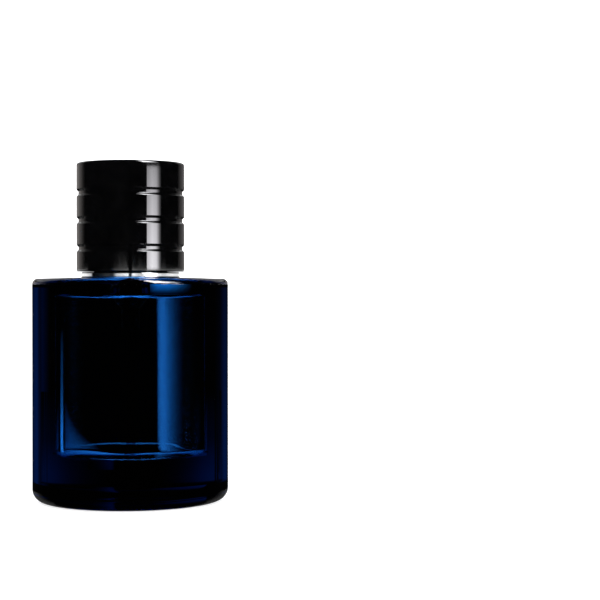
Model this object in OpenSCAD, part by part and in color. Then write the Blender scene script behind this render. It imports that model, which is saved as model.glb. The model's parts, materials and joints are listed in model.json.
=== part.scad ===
// Aftershave spray bottle: thick-walled round glass, crimped fine-mist pump, metal collar and a grooved pull-off cap.
// Millimetres, +Z up. The origin is the centre of the foot, on the table. The nozzle faces -Y.

/* [Glass] */
// Outside diameter of the glass body
bottle_d = 70; // [58:1:84]
// Height from the table to the flat that the collar stands on
body_h = 80; // [66:0.5:96]
// Rounding round the foot
foot_r = 4.4; // [3:0.1:6]
// Rounding round the shoulder
shoulder_r = 2; // [1:0.1:3]
// How far the shoulder falls from the collar to its rounding
shoulder_fall = 0.45; // [0:0.05:1]
// Width of the ring that the bottle stands on
foot_ring_w = 5; // [3:0.5:8]
// Height of the hollow under the base
punt_h = 1.6; // [0.5:0.1:3]
// Diameter of the cavity
cavity_d = 35.4; // [29:0.2:43]
// Thickness of glass under the cavity
floor_t = 16.5; // [10:0.5:20]
// Thickness of glass over the cavity
roof_t = 6; // [4:0.5:9]
// Rounding between the cavity's floor and wall
cavity_floor_r = 2.4; // [1:0.1:4]
// Rounding between the cavity's wall and roof
cavity_roof_r = 1; // [0.5:0.1:3]
// Air between the liquid and the cavity's roof
head_space = 1.2; // [1:0.1:20]

/* [Neck] */
// Wall of the neck at the bead that the ferrule is crimped over
bead_wall = 2.9; // [2.2:0.1:3.6]
// Height of the bead's straight part
bead_h = 3.4; // [2.5:0.1:4.5]
// How far the bead stands out from the neck
bead_step = 1; // [0.8:0.1:1.3]
// Height of the neck over the shoulder
neck_h = 9; // [7.5:0.1:12]
// Gap between the pump housing and the neck's bore
neck_gap = 0.45; // [0.2:0.05:0.8]

/* [Pump] */
// How far the button travels
stroke = 4.2; // [3:0.1:5.2]
// Bore of the pump chamber
chamber_d = 6; // [5:0.1:7.2]
// Wall of the pump housing
housing_wall = 1.15; // [0.9:0.05:1.5]
// Gap under the valve stem when the button is fully down
bottom_gap = 0.5; // [0.2:0.1:1.5]
// Thickness of the neck gasket
neck_gasket_t = 0.8; // [0.5:0.1:1.2]
// Thickness of each flange that the ferrule clamps
flange_t = 1; // [0.8:0.1:1.4]
// Thickness of the ferrule's metal
ferrule_t = 0.4; // [0.3:0.05:0.6]
// Diameter of the stem
stem_d = 3.2; // [2.6:0.1:3.9]
// Bore of the stem
stem_bore_d = 1.2; // [1:0.1:1.4]
// Diameter of the inlet ball
ball_d = 2; // [1.8:0.1:2.2]
// Lift of the inlet ball off its seat
ball_lift = 0.8; // [0.5:0.1:0.9]
// How far the piston moves on the stem to open the valve
piston_slip = 0.6; // [0.3:0.1:0.8]
// Outside diameter of the dip tube
tube_d = 2.6; // [2.2:0.1:2.8]
// Bore of the dip tube
tube_bore_d = 1.6; // [1.2:0.1:1.8]
// Gap between the dip tube and the cavity's floor
tube_clear = 1; // [0.5:0.1:3]

/* [Springs] */
// Wire of the return spring
return_wire = 0.44; // [0.3:0.02:0.5]
// Turns of the return spring
return_turns = 6; // [4:1:7]
// Wire of the valve spring
valve_wire = 0.26; // [0.2:0.02:0.3]
// Turns of the valve spring
valve_turns = 4; // [3:1:5]

/* [Button] */
// Outside diameter of the metal button
button_d = 14; // [11.5:0.5:17]
// Height of the button
button_h = 11.5; // [9.5:0.5:14]
// Thickness of the button's metal
button_skin = 0.55; // [0.4:0.05:0.8]
// Depth of the finger dish in the button's top
dish_h = 0.4; // [0:0.1:0.8]
// Diameter of the spray nozzle
nozzle_d = 4; // [3.3:0.1:4.8]
// Diameter of the spray orifice
orifice_d = 0.3; // [0.2:0.05:0.5]
// Depth of the nozzle's seat in the button
nozzle_seat = 2.2; // [1.8:0.1:2.6]

/* [Collar] */
// How far the flange under the cap stands back from the cap's side
collar_inset = 1.7; // [0:0.1:3]
// Thickness of that flange
collar_flange_t = 1.9; // [1.5:0.1:3]
// Diameter of the sleeve that the cap grips
sleeve_d = 26; // [21.5:0.5:31]
// Thickness of the collar's metal over its insert
collar_t = 1; // [0.6:0.1:1.4]
// How far the button stands inside the collar at rest
button_sunk = 1.2; // [0.5:0.1:2]

/* [Cap] */
// Space over the button inside the cap
cap_room = 4.8; // [2:0.1:8]
// Thickness of the cap's wall at its bands
cap_wall = 3.9; // [3:0.1:5]
// Thickness of the cap's top
cap_top_t = 3.4; // [2.5:0.1:5]
// Number of grooves
groove_count = 3; // [1:1:4]
// Height of the band under the lowest groove
lowest_band_h = 7.1; // [5:0.1:9]
// Height of the band over the highest groove
top_band_h = 9.6; // [6:0.1:12]
// Height of a groove at the surface
groove_h = 2.4; // [1.4:0.1:3]
// Height of a groove at its bottom
groove_floor_h = 1.2; // [0.6:0.1:1.4]
// Depth of a groove
groove_depth = 0.7; // [0.6:0.05:1.8]
// Rounding of the cap's top edge
cap_edge_r = 0.9; // [0.5:0.1:2]
// Height that the cap's top is crowned
cap_crown = 0.5; // [0:0.1:1]
// Thickness of the liner's wall
liner_t = 1.3; // [1:0.1:1.6]
// Number of ribs that grip the sleeve
rib_count = 12; // [6:1:18]
// Depth of a rib
rib_depth = 1.05; // [0.6:0.05:1.6]
// Width of a rib
rib_w = 1; // [0.6:0.1:1.4]
// Thickness of the steel weight in the cap's top
weight_t = 3; // [1:0.1:4]

/* [Fits] */
// Radial gap of parts that are pressed or snapped together
press_gap = 0.05; // [0.02:0.01:0.1]
// Radial gap of parts that slide or turn on each other
run_gap = 0.06; // [0.02:0.01:0.1]
// Gap round parts that only pass each other
pass_gap = 0.3; // [0.2:0.05:0.5]
// Gap between the cap and what it comes down on
rest_gap = 0.2; // [0.1:0.05:0.4]

/* [Hidden] */
$fn = 96;
arc_steps = 10;
tiny = 0.01;

// Glass
bottle_r = bottle_d / 2;
cavity_r = cavity_d / 2;
cavity_top = body_h - roof_t;
liquid_top = cavity_top - head_space;
foot_in_r = bottle_r - foot_r - foot_ring_w;
seat_edge = 0.3;

// Neck, from the pump's chamber outwards
chamber_r = chamber_d / 2;
housing_r = chamber_r + housing_wall;
neck_bore_r = housing_r + neck_gap;
bead_r = neck_bore_r + bead_wall;
neck_r = bead_r - bead_step;
neck_top = body_h + neck_h;
bead_bottom = neck_top - bead_h;
bead_edge = 0.4;

// Clamped stack over the neck
flange_r = bead_r - 1.1;
housing_flange_z = neck_top + neck_gasket_t;
housing_top = housing_flange_z + flange_t;
turret_flange_top = housing_top + flange_t;
ferrule_top = turret_flange_top + ferrule_t;
ferrule_r = bead_r + press_gap + ferrule_t;
hub_r = chamber_r + 0.9;
hub_top = ferrule_top + 0.9;

// Stem gasket's seat, under the turret's sleeve
stem_r = stem_d / 2;
counterbore_r = chamber_r + 0.45;
turret_sleeve_h = 3.7;
stem_gasket_t = 0.8;
gasket_seat = housing_top - turret_sleeve_h - stem_gasket_t;

// Stem, piston and valve, at rest
stem_flange_t = 0.8;
stem_flange_r = chamber_r - 0.5;
stem_flange_z = gasket_seat - 0.1 - stem_flange_t;
piston_h = 3.1;
piston_top = stem_flange_z - piston_slip - 0.1;
piston_bottom = piston_top - piston_h;
head_top = piston_bottom - 0.05;
head_t = 1;
head_bottom = head_top - head_t;
head_r = chamber_r - 0.6;
pin_r = 0.95;
pin_socket_top = stem_flange_z + 4.1;
pin_top = pin_socket_top - 0.4;
guide_h = 3;
guide_r = 1.2;
return_spring_r = chamber_r - 0.85;
valve_spring_r = pin_r + 0.6;
spring_cup_r = valve_spring_r + valve_wire / 2 + 0.2;
spring_cup_floor = piston_bottom + 1.1;

// Pump housing, from the chamber's floor down
chamber_floor = head_bottom - guide_h - stroke - bottom_gap;
ball_r = ball_d / 2;
ball_chamber_r = ball_r + 0.2;
lip_t = 0.3;
lip_r = ball_r - 0.2;
ball_chamber_h = ball_lift + ball_r + 0.2;
seat_hole_r = ball_r * 0.55;
seat_top = chamber_floor - lip_t - ball_chamber_h;
seat_bottom = seat_top - (ball_chamber_r - seat_hole_r);
// A ball on a 45 degree seat touches it at this height of its centre
ball_z = seat_top - ball_chamber_r + ball_r * sqrt(2) + run_gap / 2;
socket_top = seat_bottom - 0.8;
socket_h = 8;
tail_r = tube_d / 2 + 1.1;
tail_bottom = socket_top - socket_h;
taper_top = seat_top + 0.9;
vent_d = 0.8;
vent_z = gasket_seat - 0.7;

// Button
button_r = button_d / 2;
down_gap = 0.5;
sleeve_top = ferrule_top + down_gap + stroke + button_sunk;
button_z = sleeve_top - button_sunk;
button_top = button_z + button_h;
core_r = button_r - button_skin - press_gap;
core_top = button_top - button_skin - dish_h - press_gap;
core_z = button_z + 0.4;
skirt_r = core_r - 0.7;
boss_z = hub_top + stroke + pass_gap;
boss_r = stem_r + 1.3;
nozzle_r = nozzle_d / 2;
nozzle_z = core_top - nozzle_r - 1.25;
nozzle_face = button_r - 0.2;
nozzle_back = core_r - nozzle_seat;
post_r = nozzle_r / 2;
swirl_h = 0.5;
feed_z = nozzle_z - (nozzle_r + post_r) / 2;
feed_r = 0.4;
socket_end = feed_z - feed_r - 0.1;
stem_top = socket_end - 0.1;
solid_z = stem_top - 1;
channel_r = stem_bore_d / 2;

// Collar and cap, from the sleeve outwards
sleeve_r = sleeve_d / 2;
liner_bore_r = sleeve_r + rib_depth;
liner_r = liner_bore_r + liner_t;
cap_bore_r = liner_r + press_gap;
cap_r = cap_bore_r + cap_wall;
collar_r = cap_r - collar_inset;
collar_flange_top = body_h + collar_flange_t;
collar_hole_r = button_r + 0.4;
insert_r = sleeve_r - collar_t - press_gap;
insert_top = sleeve_top - collar_t;
edge = 0.3;

// Cap, from the button upwards
cap_z = collar_flange_top + rest_gap;
liner_z = cap_z + 0.4;
liner_roof = button_top + cap_room;
liner_top = liner_roof + liner_t;
weight_z = liner_top + press_gap;
cap_roof = weight_z + weight_t + press_gap;
cap_top = cap_roof + cap_top_t + cap_crown;
groove_room = cap_top - cap_crown - top_band_h - groove_h - cap_z - lowest_band_h;
groove_pitch = groove_room / max(1, groove_count - 1);
rib_r = sleeve_r + run_gap;
rib_lead = 0.6;

// Points of an arc round (r, z), from one angle to another.
function arc(r, z, radius, from, to) =
    [for (i = [0 : arc_steps]) let (a = from + (to - from) * i / arc_steps) [r + radius * cos(a), z + radius * sin(a)]];

// A solid turned from an outline of [radius, height] points.
module turned(points) {
    rotate_extrude() polygon(points);
}

// A round wire wound into a spring that stands on a height.
module coil(wire, mean_r, turns, z, height) {
    sides = 8;
    per_turn = 18;
    rings = turns * per_turn;
    wire_r = wire / 2;
    rise = height - wire;
    points = [for (i = [0 : rings], k = [0 : sides - 1])
        let (a = 360 * i / per_turn, b = 360 * k / sides, r = mean_r + wire_r * cos(b))
        [r * cos(a), r * sin(a), z + wire_r + rise * i / rings + wire_r * sin(b)]];
    walls = [for (i = [0 : rings - 1], k = [0 : sides - 1])
        let (n = (k + 1) % sides)
        [i * sides + k, i * sides + n, (i + 1) * sides + n, (i + 1) * sides + k]];
    first = [for (k = [0 : sides - 1]) sides - 1 - k];
    last = [for (k = [0 : sides - 1]) rings * sides + k];
    polyhedron(points, concat(walls, [first, last]));
}

module bottle() {
    punt = [for (i = [0 : arc_steps]) let (s = i / arc_steps) [foot_in_r * s, punt_h * (1 - s * s)]];
    shoulder_z = body_h - shoulder_fall;
    color("midnightblue") turned(concat(
        punt,
        arc(bottle_r - foot_r, foot_r, foot_r, -90, 0),
        arc(bottle_r - shoulder_r, shoulder_z - shoulder_r, shoulder_r, 0, 90),
        [[collar_r + seat_edge, body_h], [neck_r, body_h], [neck_r, bead_bottom - bead_step],
        [bead_r, bead_bottom], [bead_r, neck_top - bead_edge], [bead_r - bead_edge, neck_top],
        [neck_bore_r, neck_top], [neck_bore_r, cavity_top]],
        arc(cavity_r - cavity_roof_r, cavity_top - cavity_roof_r, cavity_roof_r, 90, 0),
        arc(cavity_r - cavity_floor_r, floor_t + cavity_floor_r, cavity_floor_r, 0, -90),
        [[0, floor_t]]));
}

module liquid() {
    wet_tail_r = tail_r + press_gap;
    wet_tube_r = tube_d / 2 + press_gap;
    wet_tail_z = tail_bottom - press_gap;
    tube_z = floor_t + tube_clear - press_gap;
    color("darkblue") difference() {
        turned(concat(
            [[0, liquid_top], [0, floor_t + press_gap]],
            arc(cavity_r - cavity_floor_r, floor_t + cavity_floor_r, cavity_floor_r - press_gap, -90, 0),
            [[cavity_r - press_gap, liquid_top]]));
        // What hangs in the cavity
        turned([[0, tube_z], [wet_tube_r, tube_z], [wet_tube_r, wet_tail_z], [wet_tail_r, wet_tail_z],
            [wet_tail_r, socket_top - press_gap], [housing_r + press_gap, taper_top - press_gap],
            [housing_r + press_gap, cavity_top], [0, cavity_top]]);
    }
}

module neck_gasket() {
    color("whitesmoke") turned([[neck_bore_r, neck_top], [bead_r - bead_edge, neck_top],
        [bead_r - bead_edge, housing_flange_z], [neck_bore_r, housing_flange_z]]);
}

module ferrule() {
    // The curl runs at 45 degrees under the bead, a gap below it
    in_r = bead_r + press_gap;
    end_r = neck_r + pass_gap;
    drop = 2 * press_gap;
    curl = bead_bottom - bead_r - drop;
    metal = ferrule_t * sqrt(2);
    color("silver") turned([[hub_r + pass_gap, turret_flange_top], [in_r, turret_flange_top],
        [in_r, curl + in_r], [end_r, curl + end_r], [end_r, curl + end_r - metal],
        [ferrule_r, curl + ferrule_r - metal], [ferrule_r, ferrule_top - ferrule_t / 2],
        [ferrule_r - ferrule_t / 2, ferrule_top], [hub_r + pass_gap, ferrule_top]]);
}

module pump_housing() {
    tube_r = tube_d / 2 + press_gap;
    color("gainsboro") difference() {
        turned([[counterbore_r, housing_top], [flange_r, housing_top], [flange_r, housing_flange_z],
            [housing_r, housing_flange_z], [housing_r, taper_top], [tail_r, socket_top],
            [tail_r, tail_bottom], [tube_r, tail_bottom], [tube_r, socket_top], [seat_hole_r, socket_top],
            [seat_hole_r, seat_bottom], [ball_chamber_r, seat_top], [ball_chamber_r, chamber_floor - lip_t],
            [lip_r, chamber_floor - lip_t], [lip_r, chamber_floor], [chamber_r, chamber_floor],
            [chamber_r, gasket_seat], [counterbore_r, gasket_seat]]);
        translate([0, 0, vent_z]) rotate([0, 90, 0]) cylinder(d = vent_d, h = housing_r + 1);
    }
}

module inlet_ball() {
    color("lightgray") translate([0, 0, ball_z]) sphere(r = ball_r);
}

module return_spring() {
    color("gray") coil(return_wire, return_spring_r, return_turns, chamber_floor, head_bottom - chamber_floor);
}

module valve_stem() {
    flutes = 3;
    color("white") difference() {
        turned([[0, head_bottom - guide_h], [guide_r - edge, head_bottom - guide_h],
            [guide_r, head_bottom - guide_h + edge], [guide_r, head_bottom], [head_r, head_bottom],
            [head_r, head_top - edge], [head_r - edge, head_top], [pin_r, head_top], [pin_r, pin_top],
            [0, pin_top]]);
        for (i = [0 : flutes - 1])
            rotate(360 * i / flutes)
                translate([pin_r - 0.35, -0.25, head_top + 0.5])
                    cube([1, 0.5, pin_top - head_top]);
    }
}

module piston() {
    lip_r = chamber_r - run_gap;
    waist_r = lip_r - 0.4;
    in_r = pin_r + 0.2;
    color("white") turned([[in_r, piston_bottom], [lip_r - 0.25, piston_bottom], [lip_r, piston_bottom + 0.35],
        [lip_r, piston_bottom + 0.6], [waist_r, piston_bottom + 0.9], [waist_r, piston_top - 0.9],
        [lip_r, piston_top - 0.6], [lip_r, piston_top - 0.35], [lip_r - 0.25, piston_top],
        [spring_cup_r, piston_top], [spring_cup_r, spring_cup_floor], [in_r, spring_cup_floor]]);
}

module valve_spring() {
    color("gray") coil(valve_wire, valve_spring_r, valve_turns, spring_cup_floor, stem_flange_z - spring_cup_floor);
}

module stem() {
    color("white") turned([[pin_r + press_gap, stem_flange_z], [stem_flange_r, stem_flange_z],
        [stem_flange_r, stem_flange_z + stem_flange_t], [stem_r, stem_flange_z + stem_flange_t],
        [stem_r, stem_top - edge], [stem_r - edge, stem_top], [channel_r, stem_top],
        [channel_r, pin_socket_top], [pin_r + press_gap, pin_socket_top]]);
}

module stem_gasket() {
    color("dimgray") turned([[stem_r + run_gap, gasket_seat], [counterbore_r - press_gap, gasket_seat],
        [counterbore_r - press_gap, gasket_seat + stem_gasket_t], [stem_r + run_gap, gasket_seat + stem_gasket_t]]);
}

module turret() {
    guide_bore_r = stem_r + run_gap;
    sleeve_out_r = counterbore_r - press_gap;
    color("white") turned([[guide_bore_r, housing_top - turret_sleeve_h], [sleeve_out_r, housing_top - turret_sleeve_h],
        [sleeve_out_r, housing_top], [flange_r, housing_top], [flange_r, turret_flange_top],
        [hub_r, turret_flange_top], [hub_r, hub_top - edge], [hub_r - edge, hub_top], [guide_bore_r, hub_top]]);
}

module dip_tube() {
    tube_bottom = floor_t + tube_clear;
    cut_angle = 35;
    color("white") difference() {
        turned([[tube_bore_d / 2, tube_bottom], [tube_d / 2, tube_bottom],
            [tube_d / 2, socket_top], [tube_bore_d / 2, socket_top]]);
        // Slanted end, so that the tube can't seal itself against the floor
        translate([-tube_d / 2, 0, tube_bottom]) rotate([0, cut_angle, 0]) translate([0, -tube_d, -tube_d * 2])
            cube([tube_d * 3, tube_d * 2, tube_d * 2]);
    }
}

module collar() {
    color("silver") turned([[sleeve_r - collar_t, body_h], [collar_r - edge, body_h], [collar_r, body_h + edge],
        [collar_r, collar_flange_top - edge], [collar_r - edge, collar_flange_top], [sleeve_r, collar_flange_top],
        [sleeve_r, sleeve_top - edge], [sleeve_r - edge, sleeve_top], [collar_hole_r + edge, sleeve_top],
        [collar_hole_r, sleeve_top - edge], [collar_hole_r, insert_top], [sleeve_r - collar_t, insert_top]]);
}

module collar_insert() {
    // Fingers that snap under the ferrule's curl
    fingers = 6;
    slot_w = 1.2;
    in_r = ferrule_r + 2 * press_gap;
    well_r = max(ferrule_r, button_r) + 0.4;
    snap_r = neck_r + 0.6;
    snap_z = bead_bottom - bead_step - 0.7;
    color("gainsboro") difference() {
        turned([[snap_r + edge, body_h], [insert_r, body_h], [insert_r, insert_top], [well_r, insert_top],
            [well_r, ferrule_top], [in_r, ferrule_top], [in_r, snap_z + 1.2], [snap_r, snap_z], [snap_r, body_h + edge]]);
        for (i = [0 : fingers - 1])
            rotate(360 * i / fingers)
                translate([0, -slot_w / 2, body_h - 1])
                    cube([insert_r - 1, slot_w, bead_bottom - body_h + 1]);
    }
}

module actuator() {
    post_l = nozzle_face - swirl_h - press_gap;
    color("white") difference() {
        turned([[0, boss_z], [boss_r, boss_z], [boss_r, solid_z], [skirt_r, solid_z], [skirt_r, core_z],
            [core_r, core_z], [core_r, core_top - edge], [core_r - edge, core_top], [0, core_top]]);
        translate([0, 0, boss_z - 1]) cylinder(r = stem_r + run_gap, h = socket_end - boss_z + 1);
        translate([0, 0, socket_end - 1]) cylinder(r = channel_r, h = feed_z + feed_r - socket_end + 1);
        // Feed from the stem into the nozzle's seat, below its post
        translate([0, 0, feed_z]) rotate([90, 0, 0]) cylinder(r = feed_r, h = nozzle_back + 0.5);
        translate([0, 0, nozzle_z]) rotate([90, 0, 0]) difference() {
            translate([0, 0, nozzle_back]) cylinder(r = nozzle_r, h = nozzle_seat + 1);
            cylinder(r = post_r, h = post_l);
        }
    }
}

module actuator_shell() {
    in_r = button_r - button_skin;
    top_r = button_r - 0.8;
    dish = [for (i = [0 : arc_steps]) let (s = 1 - i / arc_steps) [top_r * s, button_top - dish_h * (1 - s * s)]];
    color("silver") difference() {
        turned(concat([[0, core_top + press_gap], [in_r - edge, core_top + press_gap],
            [in_r, core_top + press_gap - edge], [in_r, button_z], [button_r, button_z]],
            arc(button_r - 0.8, button_top - 0.8, 0.8, 0, 90), dish));
        translate([0, 0, nozzle_z]) rotate([90, 0, 0]) cylinder(r = nozzle_r + pass_gap, h = button_r + 1);
    }
}

module spray_nozzle() {
    // A cup pressed over the post, with the orifice in its face
    depth = nozzle_face - nozzle_back - 0.4;
    in_r = post_r + 2 * press_gap;
    out_r = nozzle_r - press_gap;
    color("white") translate([0, 0, nozzle_z]) rotate([90, 0, 0]) translate([0, 0, nozzle_face])
        mirror([0, 0, 1]) turned([[orifice_d / 2, 0.15], [orifice_d * 1.5, 0], [out_r - 0.2, 0],
            [out_r, 0.2], [out_r, depth], [in_r, depth], [in_r, swirl_h], [orifice_d / 2, swirl_h]]);
}

module cap_shell() {
    half = groove_h / 2;
    half_floor = groove_floor_h / 2;
    grooves = [for (i = [0 : groove_count - 1])
        let (z = cap_z + lowest_band_h + half + i * groove_pitch)
        each [[cap_r, z - half], [cap_r - groove_depth, z - half_floor],
            [cap_r - groove_depth, z + half_floor], [cap_r, z + half]]];
    crown_r = cap_r - cap_edge_r;
    crown = [for (i = [0 : arc_steps]) let (s = 1 - i / arc_steps) [crown_r * s, cap_top - cap_crown * s * s]];
    color("black") turned(concat([[0, cap_roof], [cap_bore_r, cap_roof], [cap_bore_r, cap_z + edge],
        [cap_bore_r + edge, cap_z], [cap_r - edge, cap_z], [cap_r, cap_z + edge]],
        grooves,
        arc(cap_r - cap_edge_r, cap_top - cap_crown - cap_edge_r, cap_edge_r, 0, 90),
        crown));
}

module cap_liner() {
    rib_top = sleeve_top;
    color("gray") union() {
        turned([[0, liner_roof], [liner_bore_r, liner_roof], [liner_bore_r, liner_z + edge],
            [liner_bore_r + edge, liner_z], [liner_r, liner_z], [liner_r, liner_top], [0, liner_top]]);
        intersection() {
            turned([[rib_r + rib_lead, liner_z + edge], [liner_bore_r + tiny, liner_z + edge],
                [liner_bore_r + tiny, rib_top], [rib_r, rib_top], [rib_r, liner_z + edge + 2 * rib_lead]]);
            union() {
                for (i = [0 : rib_count - 1])
                    rotate(360 * i / rib_count)
                        translate([0, -rib_w / 2, liner_z])
                            cube([liner_r, rib_w, sleeve_top - liner_z]);
            }
        }
    }
}

module cap_weight() {
    color("darkgray") turned([[0, weight_z], [liner_r - edge, weight_z], [liner_r, weight_z + edge],
        [liner_r, weight_z + weight_t], [0, weight_z + weight_t]]);
}

bottle();
liquid();
neck_gasket();
ferrule();
pump_housing();
inlet_ball();
return_spring();
valve_stem();
piston();
valve_spring();
stem();
stem_gasket();
turret();
dip_tube();
collar();
collar_insert();
actuator();
actuator_shell();
spray_nozzle();
cap_shell();
cap_liner();
cap_weight();
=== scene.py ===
"""Looks of a round, thick-walled blue glass aftershave bottle with a spray pump and a grooved cap.

Everything is in metres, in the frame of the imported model: +Z up, the foot on the table, the nozzle facing -Y.
"""

import json
import logging
import math
from collections.abc import Callable, Sequence
from dataclasses import dataclass, field
from enum import Enum

import bmesh
import bpy
from mathutils import Matrix, Vector, noise

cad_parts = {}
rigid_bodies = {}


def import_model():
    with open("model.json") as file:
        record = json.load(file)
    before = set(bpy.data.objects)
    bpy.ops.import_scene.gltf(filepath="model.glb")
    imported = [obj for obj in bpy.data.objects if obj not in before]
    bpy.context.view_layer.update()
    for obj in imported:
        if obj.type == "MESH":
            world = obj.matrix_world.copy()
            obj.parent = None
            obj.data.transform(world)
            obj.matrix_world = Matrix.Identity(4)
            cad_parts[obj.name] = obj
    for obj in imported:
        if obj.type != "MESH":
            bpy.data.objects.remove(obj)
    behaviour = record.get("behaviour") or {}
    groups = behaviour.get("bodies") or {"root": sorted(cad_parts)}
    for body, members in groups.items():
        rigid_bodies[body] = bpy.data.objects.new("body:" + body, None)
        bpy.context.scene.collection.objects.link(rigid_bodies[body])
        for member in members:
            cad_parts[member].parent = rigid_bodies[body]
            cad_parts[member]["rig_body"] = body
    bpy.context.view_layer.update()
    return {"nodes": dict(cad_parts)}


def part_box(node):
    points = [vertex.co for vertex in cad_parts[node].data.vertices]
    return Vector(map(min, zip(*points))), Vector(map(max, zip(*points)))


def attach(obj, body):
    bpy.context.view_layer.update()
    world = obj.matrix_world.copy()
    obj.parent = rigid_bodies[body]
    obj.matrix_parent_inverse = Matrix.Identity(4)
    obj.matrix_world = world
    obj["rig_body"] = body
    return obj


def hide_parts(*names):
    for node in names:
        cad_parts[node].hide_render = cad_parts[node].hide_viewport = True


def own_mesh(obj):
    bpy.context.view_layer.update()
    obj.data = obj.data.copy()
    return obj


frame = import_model()

LOG = logging.getLogger("aftershave_bottle")
MM = 0.001
FULL_TURN = 2 * math.pi
WET = "wet"
GLOW = "glow"
GUARD = 0.04 * MM
ON_AXIS = 1e-7
WAVES_PER_SCALE = 20
AROUND = 224
SHARP_DEG = 32.0
GLASS_SHARP_DEG = 50.0
GLASS_IOR = 1.52
LIQUID_IOR = 1.36
PLASTIC_IOR = 1.5

Point = tuple[float, float]
Colour = tuple[float, float, float]
Table = tuple[tuple[float, float], ...]


# ---------------------------------------------------------------- turned shapes


@dataclass(frozen=True)
class Corner:
    """One corner of a turned outline: its radius, its height and the rounding on it."""

    r: float
    z: float
    fillet: float = 0.0


def rounded(corners: Sequence[Corner], closed: bool = False, steps: int = 6) -> list[Point]:
    """Rounds the corners of an outline. A point just outside each rounding keeps the flats beside it flat.

    Args:
        corners: The outline's corners, in order.
        closed: Whether the outline comes back to its first corner.
        steps: Straight pieces in each rounding.

    Returns:
        The outline's points as (radius, height).
    """
    points: list[Point] = []
    count = len(corners)
    for i, corner in enumerate(corners):
        at = Vector((corner.r, corner.z))
        if corner.fillet <= 0 or (not closed and i in (0, count - 1)):
            points.append((at.x, at.y))
            continue
        before, after = corners[i - 1], corners[(i + 1) % count]
        to_before = (Vector((before.r, before.z)) - at).normalized()
        to_after = (Vector((after.r, after.z)) - at).normalized()
        half = to_before.angle(to_after) / 2
        cut = corner.fillet / math.tan(half)
        middle = at + (to_before + to_after).normalized() * corner.fillet / math.sin(half)
        start = at + to_before * cut - middle
        sweep = start.angle_signed(at + to_after * cut - middle)
        guard = min(GUARD, cut / 4)
        points.append(tuple(at + to_before * (cut + guard)))
        for k in range(steps + 1):
            turned = Matrix.Rotation(-sweep * k / steps, 2) @ start
            points.append((middle.x + turned.x, middle.y + turned.y))
        points.append(tuple(at + to_after * (cut + guard)))
    return points


def subdivided(points: Sequence[Point], longest: float) -> list[Point]:
    """Adds points to an outline so that no straight piece is longer than a length.

    Args:
        points: The outline's points.
        longest: The longest piece to leave.

    Returns:
        The points with the added ones between them.
    """
    out: list[Point] = [points[0]]
    for (r0, z0), (r1, z1) in zip(points, points[1:]):
        pieces = max(1, math.ceil(math.hypot(r1 - r0, z1 - z0) / longest))
        out += [(r0 + (r1 - r0) * k / pieces, z0 + (z1 - z0) * k / pieces) for k in range(1, pieces + 1)]
    return out


def turn(name: str, outlines: Sequence[Sequence[Point]], closed: bool = False, segments: int = 192,
         place: Matrix | None = None, sharp_deg: float = SHARP_DEG) -> bpy.types.Object:
    """Turns outlines about the Z axis into one mesh object.

    Args:
        name: The object's name.
        outlines: Outlines of (radius, height) points. A point on the axis becomes a pole.
        closed: Whether each outline is a ring's section, joined end to end.
        segments: Faces round the axis.
        place: Where the turned shape goes, if not on the frame's own axis.
        sharp_deg: The angle past which an edge stays sharp.

    Returns:
        The new object, at the origin, with its place in its mesh.
    """
    bm = bmesh.new()
    for outline in outlines:
        rings: list[list[bmesh.types.BMVert]] = []
        for r, z in outline:
            if r < ON_AXIS:
                rings.append([bm.verts.new((0, 0, z))] * segments)
                continue
            rings.append([bm.verts.new((r * math.cos(FULL_TURN * k / segments),
                                        r * math.sin(FULL_TURN * k / segments), z)) for k in range(segments)])
        pairs = list(zip(rings, rings[1:])) + ([(rings[-1], rings[0])] if closed else [])
        for low, high in pairs:
            for k in range(segments):
                n = (k + 1) % segments
                corners = list(dict.fromkeys((low[k], low[n], high[n], high[k])))
                if len(corners) > 2:
                    bm.faces.new(corners)
    bmesh.ops.recalc_face_normals(bm, faces=bm.faces)
    if place is not None:
        bm.transform(place)
    return shown(name, meshed(name, bm), sharp_deg)


def meshed(name: str, bm: bmesh.types.BMesh) -> bpy.types.Mesh:
    """Turns an edited mesh into a stored one.

    Args:
        name: Its name.
        bm: The edited mesh, which is freed.

    Returns:
        The stored mesh.
    """
    mesh = bpy.data.meshes.new(name)
    bm.to_mesh(mesh)
    bm.free()
    return mesh


def shown(name: str, mesh: bpy.types.Mesh, sharp_deg: float = SHARP_DEG) -> bpy.types.Object:
    """Puts a mesh in the scene as a smooth-shaded object.

    Args:
        name: The object's name.
        mesh: Its mesh.
        sharp_deg: The angle past which an edge stays sharp.

    Returns:
        The new object.
    """
    mesh.shade_smooth()
    mesh.set_sharp_from_angle(angle=math.radians(sharp_deg))
    piece = bpy.data.objects.new(name, mesh)
    bpy.context.scene.collection.objects.link(piece)
    return piece


def mark_faces(piece: bpy.types.Object, wet: Callable[[bpy.types.MeshPolygon], bool]) -> None:
    """Marks the faces that touch another clear body.

    Args:
        piece: The piece.
        wet: Tells whether a face touches one.
    """
    mark = piece.data.attributes.new(WET, "FLOAT", "FACE")
    for face, value in zip(piece.data.polygons, mark.data):
        value.value = float(wet(face))


def remove(*pieces: bpy.types.Object) -> None:
    """Removes helper objects and their meshes.

    Args:
        pieces: The objects to remove.
    """
    for piece in pieces:
        mesh = piece.data
        bpy.data.objects.remove(piece)
        if isinstance(mesh, bpy.types.Mesh) and mesh.users == 0:
            bpy.data.meshes.remove(mesh)


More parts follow.
